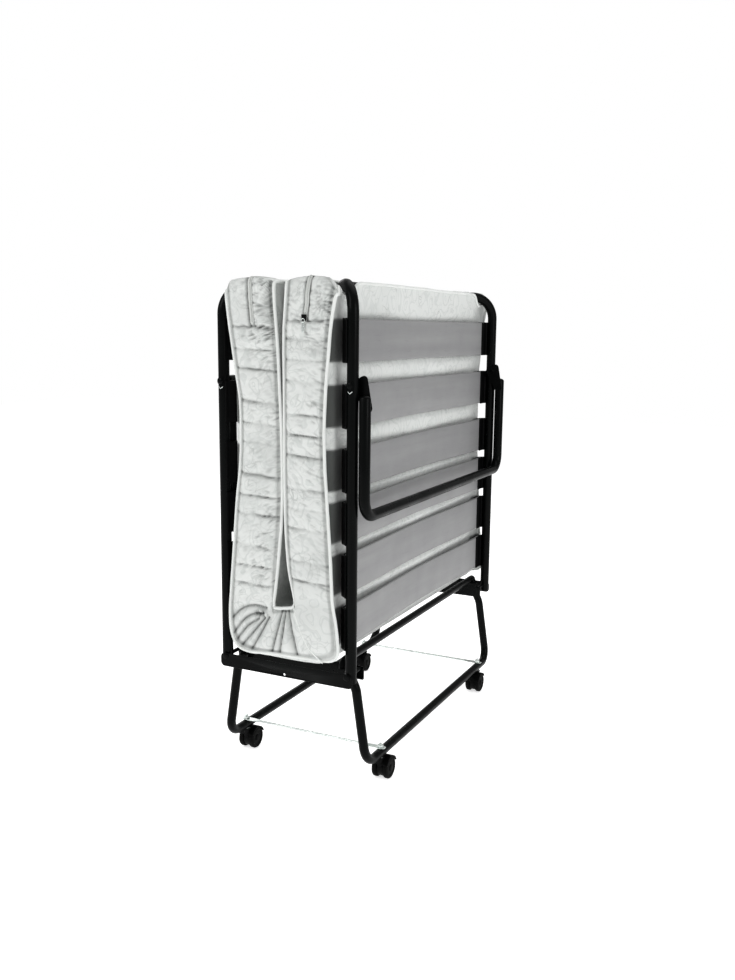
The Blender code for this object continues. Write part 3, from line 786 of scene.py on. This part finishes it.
# The same outlines in the middle of the bed.
OUTER_MID = (
    (0, 0.2655), (0.055, 0.2655), (0.08, 0.268), (0.096, 0.277), (0.105, 0.292), (0.1085, 0.315), (0.109, 0.35),
    (0.109, 0.5), (0.109, 0.65), (0.109, 0.8), (0.109, 0.9), (0.1095, 0.96), (0.113, BED_TOP),
)
INNER_MID = (
    (0, 0.368), (0.01, 0.369), (0.02, 0.369), (0.0275, 0.374), (0.029, 0.39), (0.026, 0.41), (0.02, 0.44),
    (0.012, 0.48), (0.005, 0.53), (0.003, 0.6), (0.0028, 0.7), (0.0028, 0.8), (0.003, 0.9), (0.0045, 0.975),
    (0.007, BED_TOP),
)
ALONG = 290  # steps from the fold to the end
ACROSS = 40  # steps through the thickness
WIDE = 92  # steps along the width of the bed
SEAM_STEP = 0.047
THICK = 0.1  # nominal
CROWN = 0.0085
EDGE_BAND = 0.018
END_CROWN = 0.009
BULGE = 0.0062  # of the outer face between the slats
HOOP_EASE = 0.03
SLAT_SHADE = 0.97
GAP_SHADE = 0.2
PUFF = 0.0026
SEAM_DEPTH = 0.005
JOINT_DEPTH = 0.0045
ZIP_DEPTH = 0.003
LIP_DEPTH = 0.002
ROLL_HEIGHT = 0.0125
FAN_DEPTH = 0.0105
HUB_DEPTH = 0.0065
CRUMPLE = 0.0054
STAR = 0.0018
ZIP_T = 0.485
ZIP_HALF = 0.0048
SLIDER_Z = 0.938
PUCKER = (0.095, 0.962)
# Valleys between the pleats at the fold, and the edge of the flap over them.
PLEATS = (
    ((-0.033, 0.371), (-0.061, 0.373), (-0.09, 0.362), (-0.114, 0.34)),
    ((-0.044, 0.358), (-0.064, 0.354), (-0.086, 0.34), (-0.112, 0.308)),
    ((-0.05, 0.347), (-0.078, 0.327), (-0.105, 0.294)),
    ((-0.036, 0.35), (-0.059, 0.323), (-0.092, 0.285)),
    ((-0.026, 0.353), (-0.045, 0.319), (-0.069, 0.28)),
    ((0.004, 0.372), (-0.008, 0.329), (-0.022, 0.28)),
    ((0.011, 0.37), (0.005, 0.33), (-0.004, 0.28)),
    ((0.018, 0.373), (0.024, 0.337), (0.038, 0.28)),
)
FLAP = ((0.03, 0.384), (0.0395, 0.367), (0.05, 0.343), (0.064, 0.314), (0.086, 0.286), (0.096, 0.279))
FLAP_RISE = 0.0085
HUB_SPOT = (-0.043, 0.3585)


def resampled(points, step=None, count=None):
    """Evenly spaced points along a polyline, by their step or their count."""
    length = np.concatenate([[0], np.cumsum(np.linalg.norm(np.diff(points, axis=0), axis=1))])
    spots = np.linspace(0, length[-1], count or int(length[-1] / step) + 1)
    return np.stack([np.interp(spots, length, column) for column in points.T], axis=1)


def through(points, count):
    """Evenly spaced points along a smooth curve through the given ones."""
    knots = np.array(points, float)
    knots = np.vstack([2 * knots[0] - knots[1], knots, 2 * knots[-1] - knots[-2]])
    fine = []
    for p0, p1, p2, p3 in zip(knots, knots[1:], knots[2:], knots[3:]):
        for t in np.linspace(0, 1, 24, endpoint=False):
            fine.append(
                0.5 * (2 * p1 + (p2 - p0) * t + (2 * p0 - 5 * p1 + 4 * p2 - p3) * t**2
                       + (3 * p1 - p0 - 3 * p2 + p3) * t**3)
            )
    return resampled(np.array(fine + [knots[-2]]), count=count)


def smooth(value):
    value = np.clip(value, 0, 1)
    return value * value * (3 - 2 * value)


def rise(value, start, width):
    """0 up to the start, then smoothly up to 1 over the width."""
    return smooth((value - start) / width)


def rough(points, scale, seed=0.0):
    """Smooth noise from -1 to 1 at each point; scale may differ along each axis."""
    moved = points * np.array(scale) + seed
    return np.array([noise.noise(p) for p in moved.tolist()])


def distance(x, z, path):
    """Distance of each point of a border to a smooth line drawn on it."""
    line = through(path, 60)
    return np.hypot(x[:, None] - line[:, 0], z[:, None] - line[:, 1]).min(axis=1)


def pulse(offset, half, power=2):
    """1 at no offset, and near 0 from twice the half width on."""
    return np.exp(-((offset / half) ** power))


def border_relief(points, s, t, seed, sx):
    """How far a border stands out between its pipings, and how much painted shade each point gets in its seams,
    creases and pleats and beside its pipings.
    """
    x = points[:, 0]
    z = points[:, 2]
    body = 1 - np.abs(2 * t - 1) ** 4
    end = np.clip((1 - s) / 0.02, 0, 1)
    height = CROWN * body * np.sqrt(end * (2 - end))
    joint_z = JOINT_Z + 0.0055 * sx + 0.0012 * np.sin(30 * t)
    panel = smooth((joint_z - z + 0.001) / 0.002)
    above = rise(z, 0.4, 0.02)

    # Seams across the limb, with the panels between them slightly puffed.
    count = z / SEAM_STEP + 0.18 * np.sin(2.1 * z / SEAM_STEP + seed * 5) + seed * 0.31
    count += 0.13 * sx * (t - 0.5) + 0.035 * rough(points, (50, 50, 12), seed * 2.3)
    near_seam = (count - np.round(count)) * SEAM_STEP
    strength = 0.25 + 0.75 * smooth(0.5 + 1.8 * rough(points, (22, 22, 9), seed * 3.1))
    seam = above * panel * strength * pulse(near_seam, 0.0026)
    puff = above * panel * np.abs(np.sin(math.pi * count)) ** 0.5
    joint = pulse(z - joint_z, 0.0024)
    height += body * (PUFF * puff - SEAM_DEPTH * seam - JOINT_DEPTH * joint)

    # The zip lies in a shallow channel, sunk a little deeper along both its edges.
    off_zip = (t - ZIP_T) * THICK
    channel = (1 - panel) * pulse(off_zip, ZIP_HALF + 0.001, 6)
    lips = (1 - panel) * pulse(np.abs(off_zip) - ZIP_HALF, 0.0016)
    height += body * (-ZIP_DEPTH * channel - LIP_DEPTH * lips)

    # Pleats at the fold: rounded rolls between valleys, and a flap over their right end.
    valley = np.min([distance(x, z, path) for path in PLEATS], axis=0)
    fan = smooth((0.392 - z - 0.1 * np.abs(x)) / 0.012)
    flap_line = through(FLAP, 60)
    flap_x = np.interp(-z, -flap_line[:, 1], flap_line[:, 0])
    over = rise(x, flap_x, 0.0022)
    fan = fan * (1 - over)
    roll = 1 - np.exp(-valley / 0.007)
    height += fan * body * (ROLL_HEIGHT * roll - FAN_DEPTH)
    height += FLAP_RISE * over * smooth((0.4 - z) / 0.05) * body
    # lip marks the strip left of the flap's edge that gets a painted shadow below.
    lip = pulse(x - flap_x + 0.0012, 0.0018) * smooth((0.376 - z) / 0.01) * (z < 0.385)
    knot = pulse(x - HUB_SPOT[0], 0.015) * pulse(z - HUB_SPOT[1], 0.0075)
    ragged = rough(points, (170, 170, 170), seed * 4.1)
    height -= HUB_DEPTH * knot * (0.5 + ragged)

    # Short crumples beside the inner piping, drawn-in stars and the loose lie of the cloth.
    slanted = points.copy()
    slanted[:, 2] += sx * 0.35 * x + 0.006 * rough(points, (40, 40, 40), seed)
    creases = 1 - np.abs(rough(slanted, (55, 55, 170), seed * 7.7)) * 2.4
    creases *= 0.25 + 0.75 * smooth(0.5 + 1.4 * rough(points, (20, 20, 24), seed * 1.9))
    beside = (1 - t) ** 1.6 if sx < 0 else 0.75 * t**2.2 + 0.25 * (1 - t) ** 3
    beside = beside * (0.45 + 0.75 * rise(z, 0.84, 0.08)) + 0.12
    crumple = beside * rise(z, 0.39, 0.03) * (creases - 0.45)
    height += CRUMPLE * body * crumple
    around = np.arctan2(z - PUCKER[1], x - PUCKER[0])
    close = np.hypot(z - PUCKER[1], x - PUCKER[0])
    star = np.sin(17 * around + 25 * close) * pulse(close, 0.024) * np.clip(close / 0.006, 0, 1)
    height += STAR * star * body
    height += 0.0016 * body * rough(points, (42, 42, 42), seed)
    height += 0.0007 * body * rough(points, (130, 130, 130), seed * 1.7)

    # Painted shade: darker in the seams and the joint, along the zip's edges, in bands beside both pipings (more
    # beside the left one), along the pleat valleys, left of the flap's edge, in the knot, the crumples and the
    # star.
    low_edge = pulse(t * THICK - 0.0065, 0.003)
    high_edge = pulse((1 - t) * THICK - 0.006, 0.0026)
    left_edge, right_edge = (low_edge, high_edge) if sx > 0 else (high_edge, low_edge)
    dark = 0.36 * seam + 0.35 * joint * body + 0.75 * lips + 0.62 * left_edge + 0.42 * right_edge
    dark += fan * (0.6 * pulse(valley, 0.0018) + 0.16 * pulse(valley, 0.006))
    dark += 0.85 * lip + 0.9 * knot * smooth(0.6 + ragged)
    dark += 1.15 * np.clip(-crumple - 0.04, 0, 0.5) + 0.35 * np.clip(-star, 0, 1)
    return height, np.clip(dark, 0, 1)


def under_hoop(points):
    """Highest z that leaves the end hoop lying free in its groove."""
    dense = resampled(np.array([p for p in hoop_path(1) if p.z > 0.955]), 0.003)
    clear = FRAME_R + 0.0045
    limit = np.full(len(points), 2.0)
    picked = np.nonzero(points[:, 2] > 0.93)[0]
    for part in np.array_split(picked, 40):
        gap = np.hypot(np.abs(points[part, :1]) - dense[:, 0], points[part, 1:2] - dense[:, 1])
        nearest = gap.argmin(axis=1)
        away = gap[np.arange(len(part)), nearest]
        core = np.minimum(away, 0.8 * clear)
        limit[part] = dense[nearest, 2] - np.sqrt(clear**2 - core**2) + 2.4 * np.maximum(away - core, 0)
    return limit


def beyond_slats(z):
    """How far each height lies past the edge of the nearest slat; less than 0 on a slat."""
    return np.min([np.abs(z - (low.z + high.z) / 2) - (high.z - low.z) / 2 for low, high in SLATS], axis=0)


def cover(label, sx):
    """One half of the folded mattress as a closed shell; returns the object and a finder of its points."""
    grid = np.full((ALONG + 1, ACROSS + 1, WIDE + 1), -1)
    i, k, j = np.meshgrid(*(np.arange(n + 1) for n in (ALONG, ACROSS, WIDE)), indexing="ij")
    skin_mask = (i % ALONG == 0) | (k % ACROSS == 0) | (j % WIDE == 0)
    grid[skin_mask] = np.arange(skin_mask.sum())
    i, k, j = i[skin_mask], k[skin_mask], j[skin_mask]
    s = i / ALONG
    t = k / ACROSS
    y = BED_Y * np.sin(math.pi / 2 * (2 * j / WIDE - 1))
    edge = smooth((np.abs(y) - BED_Y + EDGE_BAND) / EDGE_BAND)[:, None]
    outer = through(OUTER_MID, ALONG + 1)[i] * (1 - edge) + through(OUTER_EDGE[label], ALONG + 1)[i] * edge
    inner = through(INNER_MID, ALONG + 1)[i] * (1 - edge) + through(INNER_EDGE[label], ALONG + 1)[i] * edge
    flat = inner + (outer - inner) * t[:, None]
    points = np.stack([flat[:, 0] * sx, y, flat[:, 1]], axis=1)

    crown = END_CROWN * rise(s, 0.93, 0.07) * (4 * t * (1 - t)) ** 0.7
    points[:, 2] += crown
    free = 1 - edge[:, 0]
    gaps = smooth((beyond_slats(points[:, 2]) + 0.006) / 0.022) * rise(points[:, 2], 0.3, 0.03)
    points[:, 0] += sx * BULGE * gaps * free * (k == ACROSS) * smooth((BED_Y - 0.03 - np.abs(y)) / 0.08)
    for axis, seed in ((0, 3.3), (2, 8.8)):
        soft = 0.0012 * rough(points, (14, 9, 14), seed) + 0.0005 * rough(points, (60, 40, 60), seed)
        points[:, axis] += soft * np.minimum(1, np.abs(points[:, 0]) / 0.02 + (axis == 2))

    # Shade from the slats on the outer face, and in the gap between the halves, near the borders only.
    behind = (k == ACROSS) * smooth((0.003 - beyond_slats(points[:, 2])) / 0.006)
    dark = SLAT_SHADE * behind * rise(np.abs(y), 0.34, 0.03) * smooth((BED_Y - np.abs(y)) / 0.004)
    dark += GAP_SHADE * (k == 0) * rise(np.abs(y), 0.375, 0.02) * rise(points[:, 2], 0.5, 0.05)
    for index, (_, sy) in enumerate(ENDS):
        rows = (j == 0) if sy < 0 else (j == WIDE)
        seed = 1.0 + index * 2.7 + (sx > 0) * 1.37
        height, dark[rows] = border_relief(points[rows], s[rows], t[rows], seed, sx)
        points[rows, 1] += sy * height

    limit = under_hoop(points)
    over = np.maximum(points[:, 2] - (limit - HOOP_EASE), 0)
    points[:, 2] = np.where(over > 0, limit - HOOP_EASE * np.exp(-over / HOOP_EASE), points[:, 2])

    quads = []
    for block in (grid[0], grid[ALONG], grid[:, 0], grid[:, ACROSS], grid[:, :, 0], grid[:, :, WIDE]):
        corners = (block[:-1, :-1], block[1:, :-1], block[1:, 1:], block[:-1, 1:])
        quads.append(np.stack(corners, -1).reshape(-1, 4))
    mesh = bpy.data.meshes.new(f"{label}_mattress_cover")
    mesh.from_pydata(points.tolist(), [], np.concatenate(quads).tolist())
    bm = bmesh.new()
    bm.from_mesh(mesh)
    bpy.data.meshes.remove(mesh)
    obj = add_piece(f"{label}_mattress_cover", bm, 50)
    # Store the painted shade as a point attribute that the ticking's material reads to darken its colour.
    obj.data.attributes.new("painted_shade", "FLOAT", "POINT").data.foreach_set("value", dark.astype(np.float32))
    return obj, lambda a, b, c: points[grid[a, b, c]]


def eased(points, rounds):
    """Round off the corners of a path."""
    points = points.copy()
    for _ in range(rounds):
        points[1:-1] = 0.25 * points[:-2] + 0.5 * points[1:-1] + 0.25 * points[2:]
    return points


def round_trip(find, k):
    """Points up the near border, over the end and down the far border at one depth of the thickness."""
    path = [find(i, k, 0) for i in range(ALONG + 1)]
    path += [find(ALONG, k, j) for j in range(1, WIDE)]
    path += [find(i, k, WIDE) for i in range(ALONG, -1, -1)]
    return np.array(path)


def split(obj, label):
    """Move the piece's points off the plane where the mattress folds, between the base and its half of the
    frame.
    """
    sx = dict(SIDES)[label]
    normal = Vector((sx * SPLIT_NORMAL[0], 0, SPLIT_NORMAL[2])).normalized()
    middle = SPLIT + normal * SPLIT_LENGTH / 2
    for vertex in obj.data.vertices:
        away = (vertex.co - middle).dot(normal)
        if abs(away) < SPLIT_CLEAR:
            vertex.co += normal * (math.copysign(SPLIT_CLEAR, away) - away)
    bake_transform(obj)


def outward(path, x, from_y, over_y, from_z, over_z):
    """Unit vectors out of the cover: x sideways, turning outwards past from_y and upwards past from_z."""
    found = np.full_like(path, x)
    found[:, 1] = np.sign(path[:, 1]) * rise(np.abs(path[:, 1]), from_y, over_y)
    found[:, 2] = rise(path[:, 2], from_z, over_z)
    return found / np.linalg.norm(found, axis=1)[:, None]


def pipings(label, sx, find):
    for k, edge, side in ((ACROSS, "outer", 1), (0, "inner", -1)):
        path = round_trip(find, k)
        outwards = outward(path, sx * side, 0.39, 0.015, 0.985, 0.015)
        if side < 0:
            outwards[:, 0] = 0
        path = eased(resampled(path + 0.0012 * outwards, 0.0035), 5)
        path[0, 0] = path[-1, 0] = 0.0
        radii = PIPING_R * (1 + 0.05 * rough(path, (60, 60, 60), 2.0 + k))
        cord = skin(f"{label}_{edge}_piping", path, [circle(r, 12) for r in radii], sharp=60)
        cord.data.materials.append(LOOKS["piping"])
        split(cord, label)


def zip_fastener(label, find):
    """A zip that runs up each border and over the end, to take the cover off."""
    k = round(ZIP_T * ACROSS)
    path = round_trip(find, k)
    path = path[path[:, 2] > JOINT_Z]
    outwards = outward(path, 0, 0.4, 0.006, 0.995, 0.012)
    body = f"{label}_half"
    lie = eased(resampled(path + 0.0004 * outwards, 0.003), 3)
    section = round_box((-0.0043, -0.0007), (0.0043, 0.0007), 0.0005, 2)
    band = skin(f"{label}_zip_tape", lie, [section] * len(lie), (1, 0, 0))
    put(band, body, "ticking", look="zip")
    chain = eased(resampled(path + 0.0012 * outwards, 0.00125), 6)
    teeth = [circle(0.0015 if n % 2 else 0.001, 8) for n in range(len(chain))]
    put(skin(f"{label}_zip_chain", chain, teeth, sharp=20), body, "ticking", look="zip")


def flap_edge(find):
    """The bound edge of the flap that laps over the pleats at the right of the near border."""
    near = np.array([find(i, k, 0) for i in range(ALONG // 2) for k in range(1, ACROSS)])
    path = []
    for x, z in through(FLAP, 40):
        spot = near[np.hypot(near[:, 0] - x, near[:, 2] - z).argmin()]
        path.append((x, spot[1] - 0.0022, z))
    path = eased(np.array(path), 4)
    cord = skin("near_flap_edge", path, [circle(0.0018, 10)] * len(path), sharp=60)
    cord.data.materials.append(LOOKS["piping"])
    split(cord, "right")


def zip_slider(find):
    """The slider at the lower end of the near right zip, with its pull hanging from a ring."""
    rows = [find(i, round(ZIP_T * ACROSS), 0) for i in range(ALONG + 1)]
    x, y, z = min(rows, key=lambda p: abs(p[2] - SLIDER_Z))
    y -= 0.0028

    def place(a, b, depth):
        return (x + a, y - depth, z + b)

    shell = prism("zip_slider", hull([(-0.004, -0.006), (0.004, -0.006), (0.0052, 0.006), (-0.0052, 0.006)]),
                  place, 0.0, 0.0042)
    put(soften(shell, 0.0014, 3), "right_half", "black_plastic")
    centre = (x, y - 0.0062, z - 0.0052)
    ring = turned("zip_pull_ring", arc((0, 0.0035), 0.0009, 0, 345, 12), centre, (0, 1, 0), 24, False)
    put(ring, "right_half", "zinc")
    sides = ((-0.0024, -0.008), (0.0024, -0.008), (0.003, -0.024), (0.0016, -0.0275), (-0.0016, -0.0275),
             (-0.003, -0.024))
    pull = prism("zip_pull", hull(sides), place, 0.0056, 0.0068)
    put(soften(pull, 0.0005, 2), "right_half", "zinc")


def build_mattress():
    for label, sx in SIDES:
        shell, find = cover(label, sx)
        shell.data.materials.append(LOOKS["ticking"])
        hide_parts(f"{label}_mattress", "mattress_fold")
        split(shell, label)
        pipings(label, sx, find)
        zip_fastener(label, find)
        if label == "right":
            flap_edge(find)
            zip_slider(find)


# Studio


def studio():
    world = bpy.data.worlds.new("studio")
    world.use_nodes = True
    nodes = world.node_tree.nodes
    links = world.node_tree.links
    seen = nodes.new("ShaderNodeBackground")
    lit = nodes["Background"]
    for shader, strength in ((seen, 1.0), (lit, 0.42)):
        shader.inputs["Color"].default_value = (1, 1, 1, 1)
        shader.inputs["Strength"].default_value = strength
    choose = nodes.new("ShaderNodeMixShader")
    links.new(nodes.new("ShaderNodeLightPath").outputs["Is Camera Ray"], choose.inputs["Fac"])
    links.new(lit.outputs[0], choose.inputs[1])
    links.new(seen.outputs[0], choose.inputs[2])
    links.new(choose.outputs[0], nodes["World Output"].inputs["Surface"])
    bpy.context.scene.world = world
    bpy.context.scene.view_settings.view_transform = "Standard"
    bpy.context.scene.view_settings.gamma = 0.86

    look = Look("pale_floor", specular_ior_level=0.1, emission_color=(1, 1, 1, 1), emission_strength=0.66)
    look.set("Base Color", look.ramp(look.noise(3.0, 4.0), (0.3, (0.9, 0.9, 0.9)), (0.7, (0.93, 0.93, 0.93))))
    look.set("Roughness", look.ranged(look.noise(8.0, 4.0), 0.75, 0.9))
    bm = bmesh.new()
    bmesh.ops.create_grid(bm, x_segments=8, y_segments=8, size=8.0)
    floor = add_piece("floor", bm)
    floor.data.materials.append(look.material)

    aim = Vector((0, 0, 0.5))
    for name, place, size, power in (
        ("key", (-1.6, -2.8, 2.6), 2.0, 44.0),
        ("side", (3.0, -0.9, 1.7), 1.6, 26.0),
        ("top", (0.2, 0.6, 3.2), 2.6, 26.0),
        ("back", (-2.2, 2.4, 1.9), 1.8, 20.0),
    ):
        light = bpy.data.lights.new(name, "AREA")
        light.shape = "SQUARE"
        light.size = size
        light.energy = power
        obj = bpy.data.objects.new(name, light)
        obj.location = place
        obj.rotation_euler = (aim - Vector(place)).to_track_quat("-Z", "Y").to_euler()
        bpy.context.scene.collection.objects.link(obj)


def camera():
    """Seen from the right of the near side, just below the top of the cot."""
    yaw, pitch, roll = (math.radians(a) for a in (26.144, 9.413, 0.52))
    forward = Vector((-math.sin(yaw) * math.cos(pitch), math.cos(yaw) * math.cos(pitch), -math.sin(pitch)))
    level = Vector((math.cos(yaw), math.sin(yaw), 0))
    up = level.cross(forward)
    right = level * math.cos(roll) + up * math.sin(roll)
    up = up * math.cos(roll) - level * math.sin(roll)
    data = bpy.data.cameras.new("camera")
    data.sensor_width = 36.0
    data.lens = 35.5
    obj = bpy.data.objects.new("camera", data)
    turn = Matrix((right, up, -forward)).transposed()
    obj.matrix_world = Matrix.Translation((0.9596, -1.9855, 0.916)) @ turn.to_4x4()
    bpy.context.scene.collection.objects.link(obj)
    bpy.context.scene.camera = obj


camera()
side_frames()
slats()
end_legs()
brackets()
base_tubes()
tie_links()
casters()
build_mattress()
studio()

bpy.context.view_layer.update()
